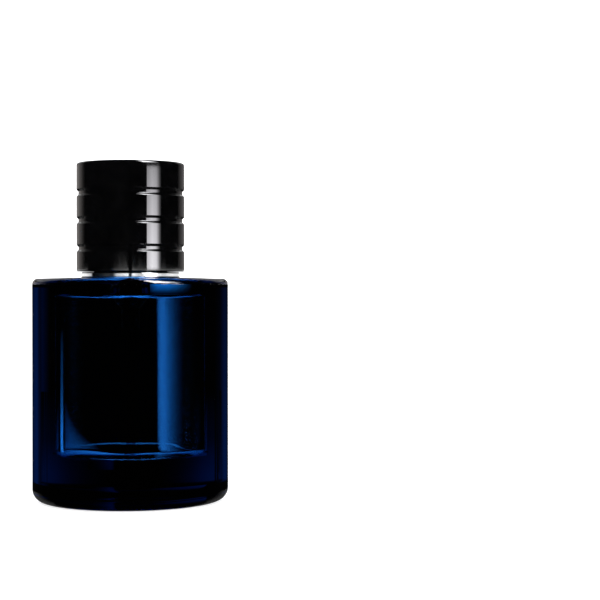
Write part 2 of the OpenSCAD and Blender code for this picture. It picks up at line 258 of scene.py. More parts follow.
def fixed(piece: bpy.types.Object, sharp_deg: float = SHARP_DEG) -> bpy.types.Object:
    """Turns an object's live modifiers into a plain mesh.

    Args:
        piece: The object, whose modifiers are then removed.
        sharp_deg: The angle past which an edge stays sharp.

    Returns:
        The same object.
    """
    evaluated = piece.evaluated_get(bpy.context.evaluated_depsgraph_get())
    mesh = bpy.data.meshes.new_from_object(evaluated)
    piece.modifiers.clear()
    old = piece.data
    piece.data = mesh
    bpy.data.meshes.remove(old)
    mesh.shade_smooth()
    mesh.set_sharp_from_angle(angle=math.radians(sharp_deg))
    return piece


@dataclass(frozen=True)
class Span:
    """How wide and how high a CAD node is."""

    radius: float
    low: float
    high: float

    @classmethod
    def of(cls, node: str) -> "Span":
        """Reads a round CAD node's radius and heights from the frame."""
        low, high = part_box(node)
        return cls(radius=max(high.x, -low.x), low=low.z, high=high.z)


def span_of(node: str) -> Span:
    """Gives a dataclass field that reads a CAD node's size when the class is made."""
    return field(default_factory=lambda: Span.of(node))


# ---------------------------------------------------------------- geometry nodes


class Socket(Enum):
    """The kinds of named input that a geometry tree can have."""

    GEOMETRY = "NodeSocketGeometry"
    OBJECT = "NodeSocketObject"
    COUNT = "NodeSocketInt"
    LENGTH = "NodeSocketFloat"
    VECTOR = "NodeSocketVector"
    MATERIAL = "NodeSocketMaterial"


class Tree:
    """A geometry node tree under construction."""

    def __init__(self, name: str, inputs: dict[str, Socket]) -> None:
        """Starts a tree with named inputs.

        Args:
            name: The tree's name.
            inputs: Each input's name and kind.
        """
        self.group = bpy.data.node_groups.new(name, "GeometryNodeTree")
        for label, kind in inputs.items():
            self.group.interface.new_socket(label, in_out="INPUT", socket_type=kind.value)
        self.group.interface.new_socket("Geometry", in_out="OUTPUT", socket_type=Socket.GEOMETRY.value)
        self.inputs = self.add("NodeGroupInput").outputs

    def add(self, kind: str, feeds: dict[str | int, bpy.types.NodeSocket] | None = None,
            values: dict[str | int, object] | None = None, **settings: object) -> bpy.types.Node:
        """Adds a node.

        Args:
            kind: The node's type.
            feeds: Input sockets and what feeds them.
            values: Input sockets and their plain values.
            settings: Properties of the node itself.

        Returns:
            The new node.
        """
        node = self.group.nodes.new(kind)
        for key, value in settings.items():
            setattr(node, key, value)
        for key, value in (values or {}).items():
            node.inputs[key].default_value = value
        for key, source in (feeds or {}).items():
            self.group.links.new(source, node.inputs[key])
        return node

    def maths(self, operation: str, first: object, second: object) -> bpy.types.NodeSocket:
        """Adds a sum on two numbers, each a socket or a plain number.

        Args:
            operation: The sum's kind, such as MULTIPLY.
            first: The first number.
            second: The second number.

        Returns:
            The result's socket.
        """
        node = self.group.nodes.new("ShaderNodeMath")
        node.operation = operation
        for index, term in enumerate((first, second)):
            if isinstance(term, bpy.types.NodeSocket):
                self.group.links.new(term, node.inputs[index])
            else:
                node.inputs[index].default_value = term
        return node.outputs[0]

    def finish(self, geometry: bpy.types.NodeSocket) -> bpy.types.GeometryNodeTree:
        """Ends the tree with real meshes that carry the named material.

        Args:
            geometry: What the tree has made.

        Returns:
            The finished tree.
        """
        real = self.add("GeometryNodeRealizeInstances", {"Geometry": geometry})
        dressed = self.add("GeometryNodeSetMaterial",
                           {"Geometry": real.outputs[0], "Material": self.inputs["Material"]})
        self.add("NodeGroupOutput", {0: dressed.outputs[0]})
        return self.group


def repeat_tree() -> bpy.types.GeometryNodeTree:
    """Makes the tree that repeats a unit along a step and round the Z axis, and joins the copies to a base.

    Returns:
        The tree, with inputs Geometry, Unit, Count, Step, Turn, Weld and Material.
    """
    tree = Tree("repeat_unit", {
        "Geometry": Socket.GEOMETRY, "Unit": Socket.OBJECT, "Count": Socket.COUNT, "Step": Socket.VECTOR,
        "Turn": Socket.LENGTH, "Weld": Socket.LENGTH, "Material": Socket.MATERIAL})
    row = tree.add("GeometryNodeMeshLine", {"Count": tree.inputs["Count"], "Offset": tree.inputs["Step"]})
    unit = tree.add("GeometryNodeObjectInfo", {"Object": tree.inputs["Unit"]}, transform_space="ORIGINAL")
    copies = tree.add("GeometryNodeInstanceOnPoints",
                      {"Points": row.outputs[0], "Instance": unit.outputs["Geometry"]})
    index = tree.add("GeometryNodeInputIndex").outputs[0]
    angle = tree.maths("MULTIPLY", index, tree.inputs["Turn"])
    spin = tree.add("ShaderNodeCombineXYZ", {"Z": angle})
    turned = tree.add("GeometryNodeRotateInstances",
                      {"Instances": copies.outputs[0], "Rotation": spin.outputs[0]},
                      {"Pivot Point": (0, 0, 0), "Local Space": False})
    real = tree.add("GeometryNodeRealizeInstances", {"Geometry": turned.outputs[0]})
    joined = tree.add("GeometryNodeJoinGeometry", {"Geometry": real.outputs[0]})
    tree.group.links.new(tree.inputs["Geometry"], joined.inputs[0])
    welded = tree.add("GeometryNodeMergeByDistance",
                      {"Geometry": joined.outputs[0], "Distance": tree.inputs["Weld"]})
    return tree.finish(welded.outputs[0])


def coil_tree() -> bpy.types.GeometryNodeTree:
    """Makes the tree that winds a wire into a compression spring with closed ends.

    Returns:
        The tree, with inputs Wire, Radius, Turns, Height, Foot and Material.
    """
    tree = Tree("coil_spring", {
        "Geometry": Socket.GEOMETRY, "Wire": Socket.LENGTH, "Radius": Socket.LENGTH, "Turns": Socket.LENGTH,
        "Height": Socket.LENGTH, "Foot": Socket.VECTOR, "Material": Socket.MATERIAL})
    rise = tree.maths("SUBTRACT", tree.inputs["Height"], tree.inputs["Wire"])
    helix = tree.add("GeometryNodeCurveSpiral",
                     {"Rotations": tree.inputs["Turns"], "Start Radius": tree.inputs["Radius"],
                      "End Radius": tree.inputs["Radius"], "Height": rise},
                     {"Resolution": 40})
    # The end turns lie flat: height follows the wire's length slowly, then evenly, then slowly again
    along = tree.add("GeometryNodeSplineParameter").outputs["Factor"]
    shape = tree.add("ShaderNodeFloatCurve", {"Value": along})
    curve = shape.mapping.curves[0]
    end_share, end_rise = 0.14, 0.035
    for x, y in ((end_share, end_rise), (1 - end_share, 1 - end_rise)):
        curve.points.new(x, y)
    for point in curve.points:
        point.handle_type = "VECTOR"
    shape.mapping.update()
    lifted = tree.maths("MULTIPLY", tree.maths("SUBTRACT", shape.outputs[0], along), rise)
    offset = tree.add("ShaderNodeCombineXYZ", {"Z": lifted})
    settled = tree.add("GeometryNodeSetPosition", {"Geometry": helix.outputs[0], "Offset": offset.outputs[0]})
    wire_radius = tree.maths("MULTIPLY", tree.inputs["Wire"], 0.5)
    section = tree.add("GeometryNodeCurvePrimitiveCircle", {"Radius": wire_radius}, {"Resolution": 12})
    wound = tree.add("GeometryNodeCurveToMesh",
                     {"Curve": settled.outputs[0], "Profile Curve": section.outputs[0]}, {"Fill Caps": True})
    lift = tree.add("ShaderNodeCombineXYZ", {"Z": wire_radius})
    centre = tree.add("ShaderNodeVectorMath", {0: tree.inputs["Foot"], 1: lift.outputs[0]}, operation="ADD")
    placed = tree.add("GeometryNodeTransform",
                      {"Geometry": wound.outputs[0], "Translation": centre.outputs[0]})
    return tree.finish(placed.outputs[0])


def grow(piece: bpy.types.Object, tree: bpy.types.GeometryNodeTree, sharp_deg: float = SHARP_DEG,
         **values: object) -> bpy.types.Object:
    """Runs a geometry tree on an object and keeps the result as its plain mesh.

    Args:
        piece: The object that the tree starts from.
        tree: The tree.
        sharp_deg: The angle past which an edge stays sharp.
        values: The tree's inputs by name, with underscores for spaces.

    Returns:
        The same object.
    """
    modifier = piece.modifiers.new(tree.name, "NODES")
    modifier.node_group = tree
    sockets = {item.name: item.identifier for item in tree.interface.items_tree
               if item.item_type == "SOCKET" and item.in_out == "INPUT"}
    for label, value in values.items():
        modifier[sockets[label.replace("_", " ")]] = value
    piece.update_tag()
    bpy.context.view_layer.update()
    return fixed(piece, sharp_deg)


# ---------------------------------------------------------------- finishes


class Shader:
    """A material under construction, with the few nodes that every finish needs."""

    def __init__(self, name: str) -> None:
        """Starts a material.

        Args:
            name: The material's name.
        """
        self.material = bpy.data.materials.new(name)
        self.material.use_nodes = True
        self.tree = self.material.node_tree
        self.surface = self.tree.nodes["Principled BSDF"]
        self.place = self.tree.nodes.new("ShaderNodeTexCoord").outputs["Object"]

    def plain(self, **values: object) -> None:
        """Sets uniform values on the shader's own sockets."""
        for key, value in values.items():
            self.surface.inputs[key.replace("_", " ")].default_value = value

    def textured(self, kind: str, setting: str, value: Colour) -> bpy.types.Node:
        """Adds a texture in the object's own space.

        Args:
            kind: The texture node's type.
            setting: The mapping's socket to set.
            value: The socket's value.

        Returns:
            The texture node.
        """
        mapping = self.tree.nodes.new("ShaderNodeMapping")
        mapping.inputs[setting].default_value = value
        self.tree.links.new(self.place, mapping.inputs["Vector"])
        texture = self.tree.nodes.new(kind)
        self.tree.links.new(mapping.outputs[0], texture.inputs["Vector"])
        return texture

    def noise(self, size: float, detail: float = 3.0,
              stretch: Colour = (1.0, 1.0, 1.0)) -> bpy.types.NodeSocket:
        """Adds noise in the object's own space.

        Args:
            size: Width of its features, in metres.
            detail: Octaves of finer noise.
            stretch: How much longer the features are along each axis.

        Returns:
            The noise's socket.
        """
        texture = self.textured("ShaderNodeTexNoise", "Scale", tuple(1 / s for s in stretch))
        texture.inputs["Scale"].default_value = 1 / size
        texture.inputs["Detail"].default_value = detail
        return texture.outputs["Fac"]

    def rings(self, pitch: float) -> bpy.types.NodeSocket:
        """Adds fine rings round the Z axis, as a lathe tool leaves.

        Args:
            pitch: Distance between rings.

        Returns:
            The rings' socket.
        """
        texture = self.textured("ShaderNodeTexWave", "Location", (0.0, 0.0, 0.0))
        texture.wave_type = "RINGS"
        texture.rings_direction = "Z"
        texture.inputs["Scale"].default_value = 1 / (pitch * WAVES_PER_SCALE)
        texture.inputs["Distortion"].default_value = 1.2
        texture.inputs["Detail"].default_value = 2.0
        return texture.outputs["Fac"]

    def mark(self, name: str) -> bpy.types.NodeSocket:
        """Reads a number stored on the mesh.

        Args:
            name: The attribute's name.

        Returns:
            The number's socket.
        """
        node = self.tree.nodes.new("ShaderNodeAttribute")
        node.attribute_name = name
        return node.outputs["Fac"]

    def spread(self, source: bpy.types.NodeSocket, low: float, high: float,
               start: float = 0.35, stop: float = 0.65) -> bpy.types.NodeSocket:
        """Maps a pattern onto a range of values.

        Args:
            source: The pattern.
            low: The value where the pattern is at start or below.
            high: The value where it is at stop or above.
            start: The pattern's lower end.
            stop: The pattern's upper end.

        Returns:
            The mapped socket.
        """
        node = self.tree.nodes.new("ShaderNodeMapRange")
        node.inputs["From Min"].default_value = start
        node.inputs["From Max"].default_value = stop
        node.inputs["To Min"].default_value = low
        node.inputs["To Max"].default_value = high
        self.tree.links.new(source, node.inputs["Value"])
        return node.outputs["Result"]

    def drive(self, socket: str, source: bpy.types.NodeSocket) -> None:
        """Feeds one of the shader's sockets from a pattern."""
        self.tree.links.new(source, self.surface.inputs[socket])

    def tint(self, source: bpy.types.NodeSocket, first: Colour, second: Colour) -> None:
        """Lets the base colour wander between two colours.

        Args:
            source: The pattern, from 0 to 1.
            first: The colour at 0.
            second: The colour at 1.
        """
        mix = self.tree.nodes.new("ShaderNodeMix")
        mix.data_type = "RGBA"
        colours = [s for s in mix.inputs if s.type == "RGBA"]
        colours[0].default_value = (*first, 1)
        colours[1].default_value = (*second, 1)
        self.tree.links.new(source, mix.inputs["Factor"])
        result = next(s for s in mix.outputs if s.type == "RGBA")
        self.tree.links.new(result, self.surface.inputs["Base Color"])

    def bump(self, source: bpy.types.NodeSocket, height: float, strength: float = 1.0) -> None:
        """Adds relief that is finer than the mesh, on top of any there already.

        Args:
            source: The relief's pattern.
            height: Its height, in metres.
            strength: How strongly it shows.
        """
        node = self.tree.nodes.new("ShaderNodeBump")
        node.inputs["Distance"].default_value = height
        node.inputs["Strength"].default_value = strength
        self.tree.links.new(source, node.inputs["Height"])
        normal = self.surface.inputs["Normal"]
        if normal.is_linked:
            self.tree.links.new(normal.links[0].from_socket, node.inputs["Normal"])
        self.tree.links.new(node.outputs[0], normal)

    def absorb(self, colour: Colour, density: float) -> None:
        """Tints light by how far it goes inside.

        Args:
            colour: The colour that passes best.
            density: How strongly the rest is taken, per metre.
        """
        node = self.tree.nodes.new("ShaderNodeVolumeAbsorption")
        node.inputs["Color"].default_value = (*colour, 1)
        node.inputs["Density"].default_value = density
        output = next(n for n in self.tree.nodes if n.type == "OUTPUT_MATERIAL")
        self.tree.links.new(node.outputs[0], output.inputs["Volume"])


@dataclass(frozen=True)
class ClearFinish:
    """Something clear with a body tint: pressed glass, or the liquid in it.

    Faces marked wet meet another clear body and not air. They bend light by the ratio of the two.
    """

    name: str
    ior: float
    tint: Colour
    density: float
    ripple: float = 0.0
    smudge: float = 0.0
    wet_ior: float = 0.0

    def build(self) -> bpy.types.Material:
        """Makes the material: a body tint by depth, faint ripples and a trace of handling.

        Returns:
            The material.
        """
        shader = Shader(self.name)
        shader.plain(Transmission_Weight=1.0, IOR=self.ior)
        if self.wet_ior:
            shader.drive("IOR", shader.spread(shader.mark(WET), self.ior, self.wet_ior, 0.0, 1.0))
        shader.absorb(self.tint, self.density)
        shader.tint(shader.noise(26 * MM), (1.0, 1.0, 1.0), (0.965, 0.975, 0.99))
        shader.drive("Roughness", shader.spread(shader.noise(9 * MM, 5), 0.0, self.smudge, 0.5, 0.72))
        if self.ripple:
            shader.bump(shader.noise(7 * MM, 1.5), self.ripple)
        return shader.material


@dataclass(frozen=True)
class GlossFinish:
    """High-gloss moulding with a faint orange peel, dust and hairline rub marks."""

    name: str
    colour: Colour
    lighter: Colour
    polish: float = 0.035
    wear: float = 0.09

    def build(self) -> bpy.types.Material:
        """Makes the material.

        Returns:
            The material.
        """
        shader = Shader(self.name)
        shader.plain(IOR=1.52, Coat_Weight=0.35, Coat_Roughness=0.02, Coat_IOR=1.5)
        shader.tint(shader.spread(shader.noise(5 * MM, 4), 0.0, 1.0), self.colour, self.lighter)
        rubs = shader.noise(3 * MM, 6, (1, 1, 6))
        shader.drive("Roughness", shader.spread(rubs, self.polish, self.wear, 0.5, 0.8))
        shader.bump(shader.noise(0.9 * MM, 1.0), 0.0008 * MM)
        return shader.material


@dataclass(frozen=True)
class MetalFinish:
    """Bare or plated metal, with polish, tool marks and fine scratches."""

    name: str
    colour: Colour
    darker: Colour
    polish: float
    wear: float
    grain: Colour = (1.0, 1.0, 1.0)
    tool_pitch: float = 0.0
    tool_height: float = 0.0
    anisotropy: float = 0.0
    scratch: float = 0.001 * MM

    def build(self) -> bpy.types.Material:
        """Makes the material.

        Returns:
            The material.
        """
        shader = Shader(self.name)
        shader.plain(Metallic=1.0, Anisotropic=self.anisotropy)
        shader.tint(shader.spread(shader.noise(4 * MM, 4), 0.0, 1.0), self.colour, self.darker)
        scratches = shader.noise(0.5 * MM, 6, self.grain)
        shader.drive("Roughness", shader.spread(scratches, self.polish, self.wear))
        shader.bump(scratches, self.scratch)
        if self.tool_pitch:
            shader.bump(shader.rings(self.tool_pitch), self.tool_height)
        return shader.material


@dataclass(frozen=True)
class MouldedFinish:
    """Matt or satin moulded plastic or rubber, with a fine grain and cloudy colour."""

    name: str
    colour: Colour
    lighter: Colour
    dull: float
    duller: float
    grain_size: float = 0.25 * MM
    grain_height: float = 0.004 * MM
    glow: float = 0.0
    ior: float = PLASTIC_IOR

    def build(self) -> bpy.types.Material:
        """Makes the material.

        Returns:
            The material.
        """
        shader = Shader(self.name)
        shader.plain(IOR=self.ior)
        if self.glow:
            shader.plain(Subsurface_Weight=self.glow, Subsurface_Scale=1.2 * MM,
                         Subsurface_Radius=(1.0, 0.9, 0.8))
        shader.tint(shader.spread(shader.noise(3 * MM, 4), 0.0, 1.0), self.colour, self.lighter)
        grain = shader.noise(self.grain_size, 3)
        shader.drive("Roughness", shader.spread(grain, self.dull, self.duller))
        shader.bump(grain, self.grain_height)
        return shader.material


class Finish(Enum):
    """Every finish on the bottle."""

    BLUE_GLASS = ClearFinish("deep_blue_glass", ior=GLASS_IOR, tint=(0.02, 0.36, 0.54), density=200.0,
                             ripple=0.0006 * MM, smudge=0.012, wet_ior=GLASS_IOR / LIQUID_IOR)
    LIQUID = ClearFinish("pale_blue_liquid", ior=LIQUID_IOR, tint=(0.72, 0.9, 0.98), density=16.0,
                         wet_ior=1.0)
    BLACK_GLOSS = GlossFinish("black_gloss", colour=(0.0004, 0.0004, 0.0005),
                              lighter=(0.001, 0.001, 0.0011))
    COLLAR_CHROME = MetalFinish("collar_chrome", colour=(0.9, 0.91, 0.93), darker=(0.83, 0.84, 0.86),
                                polish=0.01, wear=0.03, grain=(1, 1, 0.2), scratch=0.00004 * MM)
    BUTTON_METAL = MetalFinish("spun_button_metal", colour=(0.86, 0.87, 0.89), darker=(0.76, 0.77, 0.79),
                               polish=0.08, wear=0.2, grain=(1, 1, 0.15), tool_pitch=0.11 * MM,
                               tool_height=0.0035 * MM, anisotropy=0.4)
    FERRULE_METAL = MetalFinish("satin_aluminium", colour=(0.83, 0.83, 0.84), darker=(0.7, 0.7, 0.71),
                                polish=0.24, wear=0.4, grain=(1, 1, 0.3))
    SPRING_WIRE = MetalFinish("drawn_spring_wire", colour=(0.62, 0.62, 0.64), darker=(0.42, 0.42, 0.44),
                              polish=0.18, wear=0.34, grain=(6, 6, 1))
    BALL_STEEL = MetalFinish("polished_ball_steel", colour=(0.72, 0.72, 0.74), darker=(0.66, 0.66, 0.68),
                             polish=0.04, wear=0.1)
    WEIGHT_ZINC = MetalFinish("zinc_plated_weight", colour=(0.6, 0.61, 0.63), darker=(0.42, 0.44, 0.48),
                              polish=0.3, wear=0.5, grain=(1, 1, 1), tool_pitch=0.35 * MM,
                              tool_height=0.012 * MM)
    NATURAL_PLASTIC = MouldedFinish("natural_pump_plastic", colour=(0.72, 0.72, 0.7),
                                    lighter=(0.82, 0.82, 0.8), dull=0.32, duller=0.5, glow=0.35)
    PISTON_PLASTIC = MouldedFinish("piston_plastic", colour=(0.6, 0.66, 0.7), lighter=(0.72, 0.77, 0.8),
                                   dull=0.3, duller=0.45, glow=0.3)
    TUBE_PLASTIC = ClearFinish("clear_tube_plastic", ior=1.0, tint=(0.5, 0.6, 0.7), density=1600.0)
    # The housing is near-black so it stays unseen inside the dark glass: its colour is painted shade.
    HOUSING_PLASTIC = MouldedFinish("painted_shade_housing_plastic", colour=(0.003, 0.003, 0.0035),
                                    lighter=(0.006, 0.006, 0.007), dull=0.4, duller=0.6,
                                    ior=PLASTIC_IOR / LIQUID_IOR)
    INSERT_PLASTIC = MouldedFinish("insert_plastic", colour=(0.55, 0.55, 0.54), lighter=(0.66, 0.66, 0.65),
                                   dull=0.35, duller=0.55)
    BUTTON_PLASTIC = MouldedFinish("button_core_plastic", colour=(0.02, 0.02, 0.023),
                                   lighter=(0.032, 0.032, 0.036), dull=0.3, duller=0.5)
    NOZZLE_PLASTIC = MouldedFinish("nozzle_plastic", colour=(0.012, 0.012, 0.014),
                                   lighter=(0.024, 0.024, 0.027), dull=0.22, duller=0.4)
    LINER_PLASTIC = MouldedFinish("liner_plastic", colour=(0.016, 0.016, 0.018),
                                  lighter=(0.026, 0.026, 0.03), dull=0.36, duller=0.55)
    WHITE_GASKET = MouldedFinish("neck_gasket_foam", colour=(0.7, 0.7, 0.68), lighter=(0.82, 0.82, 0.8),
                                 dull=0.6, duller=0.8, grain_size=0.4 * MM)
    BLACK_RUBBER = MouldedFinish("stem_gasket_rubber", colour=(0.01, 0.01, 0.01),
                                 lighter=(0.022, 0.022, 0.022), dull=0.55, duller=0.8)

    def material(self) -> bpy.types.Material:
        """Gives the finish's material, made at its first use."""
        return bpy.data.materials.get(self.value.name) or self.value.build()


def dress(piece: bpy.types.Object, finish: Finish) -> None:
    """Gives an object one material."""
    piece.data.materials.clear()
    piece.data.materials.append(finish.material())


def settle(piece: bpy.types.Object, node: str, finish: Finish) -> bpy.types.Object:
    """Puts a finished piece in the place of a CAD node.

    Args:
        piece: The finished piece.
        node: The CAD node that it stands for, whose body it rides on.
        finish: Its finish.

    Returns:
        The same piece.
    """
    dress(piece, finish)
    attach(piece, frame["nodes"][node]["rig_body"])
    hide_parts(node)
    LOG.info("%s: %d faces, stands for %s", piece.name, len(piece.data.polygons), node)
    return piece


def paint(node: str, finish: Finish) -> None:
    """Gives a CAD node that keeps its shape a better material.

    Args:
        node: The CAD node's name.
        finish: Its finish.
    """
    kept = frame["nodes"][node]
    for place in kept.material_slots:
        place.material = finish.material()
    LOG.info("%s: CAD shape kept, dressed in %s", node, finish.value.name)


# ---------------------------------------------------------------- the bottle's sub-assemblies


@dataclass
class GlassBody:
    """The thick glass bottle and the liquid in it. It repeats its foot's bars with the given tree."""

    repeat: bpy.types.GeometryNodeTree
    foot_r: float = 4.4 * MM
    foot_ring: float = 5.0 * MM
    foot_lift: float = 0.12 * MM
    punt_h: float = 1.6 * MM
    shoulder_r: float = 2.0 * MM
    shoulder_fall: float = 0.45 * MM
    floor_r: float = 2.4 * MM
    roof_r: float = 1.0 * MM
    bead_step: float = 1.0 * MM
    bead_h: float = 3.4 * MM
    bore_r: float = 4.6 * MM
    ferrule_wall: float = 0.45 * MM
    pump_r: float = 4.15 * MM
    tail_wall: float = 1.1 * MM
    tube_bore_r: float = 0.8 * MM
    wall_wander: float = 0.02 * MM
    wander_size: float = 14 * MM
    wet_overlap: float = 0.02 * MM
    pump_overlap: float = 0.06 * MM
    meniscus_h: float = 0.7 * MM
    meniscus_w: float = 2.4 * MM
    meniscus_power: float = 2.5
    well_w: float = 1.2 * MM
    well_h: float = 0.35 * MM
    bar_l: float = 2.6 * MM
    bar_w: float = 0.45 * MM
    stipples: int = 96
    bottle: Span = span_of("bottle")
    liquid: Span = span_of("liquid")
    collar: Span = span_of("collar")
    gasket: Span = span_of("neck_gasket")
    ferrule: Span = span_of("ferrule")
    housing: Span = span_of("pump_housing")
    tube: Span = span_of("dip_tube")

    @property
    def cavity_r(self) -> float:
        """Radius of the cavity, a hair outside the liquid."""
        return self.liquid.radius + 0.05 * MM

    @property
    def floor_z(self) -> float:
        """Height of the cavity's floor."""
        return self.liquid.low - 0.05 * MM

    @property
    def roof_z(self) -> float:
        """Height of the cavity's roof, over the air above the liquid."""
        return self.liquid.high + 1.2 * MM

    def outline(self) -> list[Point]:
        """Draws the glass's section.

        Returns:
            Its points, from the base's centre round the outside to the cavity's floor.
        """
        r = self.bottle.radius
        top = self.collar.low
        neck_top = self.gasket.low
        bead_r = self.ferrule.radius - self.ferrule_wall
        neck_r = bead_r - self.bead_step
        bead_low = neck_top - self.bead_h
        inner = r - self.foot_r - self.foot_ring
        steps = 12
        punt = [(inner * k / steps, self.foot_lift + self.punt_h * (1 - (k / steps) ** 2))
                for k in range(steps)]
        corners = [
            Corner(*punt[-1]), Corner(inner, self.foot_lift, 0.8 * MM),
            Corner(r, self.foot_lift, self.foot_r), Corner(r, top - self.shoulder_fall, self.shoulder_r),
            Corner(self.collar.radius + 0.3 * MM, top, 0.2 * MM),
            Corner(neck_r, top, 0.5 * MM), Corner(neck_r, bead_low - self.bead_step, 0.3 * MM),
            Corner(bead_r, bead_low, 0.3 * MM), Corner(bead_r, neck_top, 0.4 * MM),
            Corner(self.bore_r, neck_top, 0.3 * MM), Corner(self.bore_r, self.roof_z, 0.5 * MM),
            Corner(self.cavity_r, self.roof_z, self.roof_r),
            Corner(self.cavity_r, self.floor_z, self.floor_r), Corner(0, self.floor_z)]
        wall = rounded(corners, steps=steps)[1:]
        return punt + subdivided(wall, 3 * MM)

    def make_glass(self) -> None:
        """Makes the bottle, with the slightly uneven inner wall that pressing leaves."""
        piece = turn("bottle_glass", [self.outline()], segments=AROUND, sharp_deg=GLASS_SHARP_DEG)
        self.wander(piece)
        wet_r = self.cavity_r + self.wet_overlap
        wet_top = self.liquid.high + self.meniscus_h
        mark_faces(piece, lambda face: math.hypot(face.center.x, face.center.y) < wet_r
                   and self.floor_z - self.wet_overlap < face.center.z < wet_top)
        settle(piece, "bottle", Finish.BLUE_GLASS)

    def wander(self, piece: bpy.types.Object) -> None:
        """Makes the cavity's wall uneven, in the same way on the glass and on the liquid against it.

        Args:
            piece: The glass or the liquid.
        """
        for vertex in piece.data.vertices:
            r = math.hypot(vertex.co.x, vertex.co.y)
            on_wall = abs(r - self.cavity_r) < 2 * self.wet_overlap
            if on_wall and self.floor_z + self.floor_r < vertex.co.z < self.roof_z - self.roof_r:
                ripple = noise.noise(Vector((vertex.co.x, vertex.co.y, vertex.co.z * 0.4)) / self.wander_size)
                vertex.co.xy *= 1 + ripple * self.wall_wander / r

    def make_stipples(self) -> None:
        """Makes the ring of short raised bars that the foot stands on."""
        middle = self.bottle.radius - self.foot_r - self.foot_ring / 2
        bm = bmesh.new()
        bmesh.ops.create_uvsphere(bm, u_segments=10, v_segments=6, radius=1.0)
        bmesh.ops.scale(bm, vec=(self.bar_l / 2, self.bar_w / 2, self.foot_lift), verts=bm.verts)
        bmesh.ops.translate(bm, vec=(middle, 0, self.foot_lift), verts=bm.verts)
        unit = shown("stipple_bar", meshed("stipple_bar", bm))
        ring = shown("foot_stipples", bpy.data.meshes.new("foot_stipples"))
        grow(ring, self.repeat, Unit=unit, Count=self.stipples, Turn=FULL_TURN / self.stipples, Weld=0.0,
             Material=Finish.BLUE_GLASS.material())
        remove(unit)
        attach(ring, "bottle")
        LOG.info("%s: %d bars", ring.name, self.stipples)

    def make_liquid(self) -> None:
        """Makes the liquid, wetting the glass, with a meniscus at the wall and at the pump."""
        r = self.cavity_r + self.wet_overlap
        top = self.liquid.high
        low = self.floor_z - self.wet_overlap
        housing_r = self.pump_r - self.pump_overlap
        tail_r = self.tube.radius + self.tail_wall - self.pump_overlap
        tail_low = self.housing.low + self.pump_overlap
        steps = 8
        rim = [(r - self.meniscus_w * (1 - k / steps),
                top + self.meniscus_h * (k / steps) ** self.meniscus_power) for k in range(steps, -1, -1)]
        well_steps = 6
        well = [(housing_r + self.well_w * (1 - k / well_steps), top + self.well_h * (k / well_steps) ** 2)
                for k in range(well_steps + 1)]
        corners = [Corner(0, low), Corner(r, low, self.floor_r), Corner(r, top + self.meniscus_h)]
        outline = rounded(corners, steps=10) + rim[1:] + well
        outline += [(housing_r, self.tube.high + 2.4 * MM), (tail_r, self.tube.high), (tail_r, tail_low),
                    (0, tail_low)]
        piece = turn("liquid", [subdivided(outline, 3 * MM)], segments=AROUND, sharp_deg=GLASS_SHARP_DEG)
        self.wander(piece)
        level = self.liquid.high - self.wet_overlap
        mark_faces(piece, lambda face: face.center.z < level or face.normal.z < 0.15)
        settle(piece, "liquid", Finish.LIQUID)

    def make_tube(self) -> None:
        """Makes the clear dip tube. It stands in the liquid, and its faces bend light no further."""
        ends = [Corner(self.tube_bore_r, self.tube.low), Corner(self.tube.radius, self.tube.low),
                Corner(self.tube.radius, self.tube.high), Corner(self.tube_bore_r, self.tube.high)]
        piece = turn("dip_tube_clear", [rounded(ends, closed=True)], closed=True, segments=AROUND)
        settle(piece, "dip_tube", Finish.TUBE_PLASTIC)

    def build(self) -> None:
        """Builds the glass, its foot, the liquid and the tube."""
        self.make_glass()
        self.make_stipples()
        self.make_liquid()
        self.make_tube()


@dataclass
class MetalCollar:
    """The bright collar with its flange, and the plastic insert that clips it to the ferrule."""

    flange_t: float = 1.9 * MM
    wall: float = 1.0 * MM
    sleeve_r: float = 13.0 * MM
    hole_r: float = 7.4 * MM
    collar: Span = span_of("collar")

    def build(self) -> None:
        """Builds the collar and dresses the insert."""
        low, high, r = self.collar.low, self.collar.high, self.collar.radius
        inner = self.sleeve_r - self.wall
        ledge = low + self.flange_t
        corners = [
            Corner(inner, low, 0.1 * MM), Corner(r, low, 0.35 * MM), Corner(r, ledge, 0.45 * MM),
            Corner(self.sleeve_r, ledge, 0.3 * MM), Corner(self.sleeve_r, high, 0.45 * MM),
            Corner(self.hole_r, high, 0.3 * MM), Corner(self.hole_r, high - self.wall, 0.1 * MM),
            Corner(inner, high - self.wall, 0.3 * MM)]
        piece = turn("collar_metal", [rounded(corners, closed=True, steps=8)], closed=True, segments=AROUND)
        settle(piece, "collar", Finish.COLLAR_CHROME)
        paint("collar_insert", Finish.INSERT_PLASTIC)


